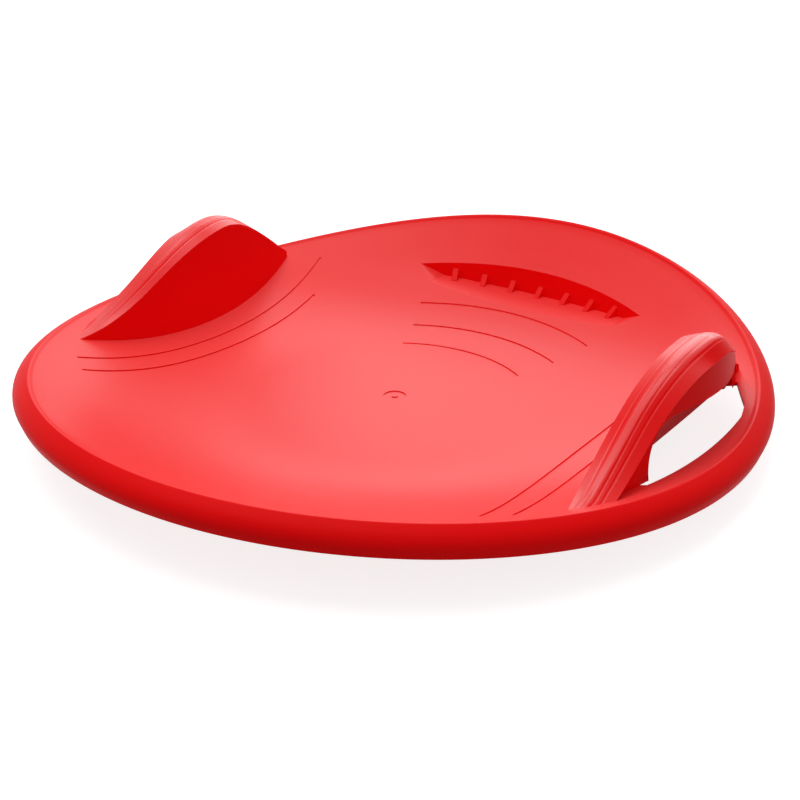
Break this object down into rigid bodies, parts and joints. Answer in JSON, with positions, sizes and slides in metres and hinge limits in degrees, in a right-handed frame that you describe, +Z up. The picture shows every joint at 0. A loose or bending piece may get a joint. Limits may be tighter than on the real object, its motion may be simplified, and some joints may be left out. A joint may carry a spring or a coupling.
{
  "type": "saucer sled",
  "caption": "Round shallow saucer sled with a rolled turned-down rim, raised wave-shaped side handles over hand holes, and a ribbed heel rest in the front flank.",
  "frame": {"origin": "middle of the flat underside of the floor, which the sled rests on", "axes": "+Z up, +Y to the front with the heel rest, +X to the rider's right-hand handle"},
  "size_m": [0.58, 0.58, 0.0993],
  "materials": {
    "red_plastic": "semi-gloss moulded surface, dyed through"
  },
  "bodies": {
    "root": {"seat_pan": "red_plastic", "rim": "red_plastic", "left_handle": "red_plastic", "right_handle": "red_plastic", "heel_rest": "red_plastic", "heel_ribs": "red_plastic"}
  },
  "joints": []
}
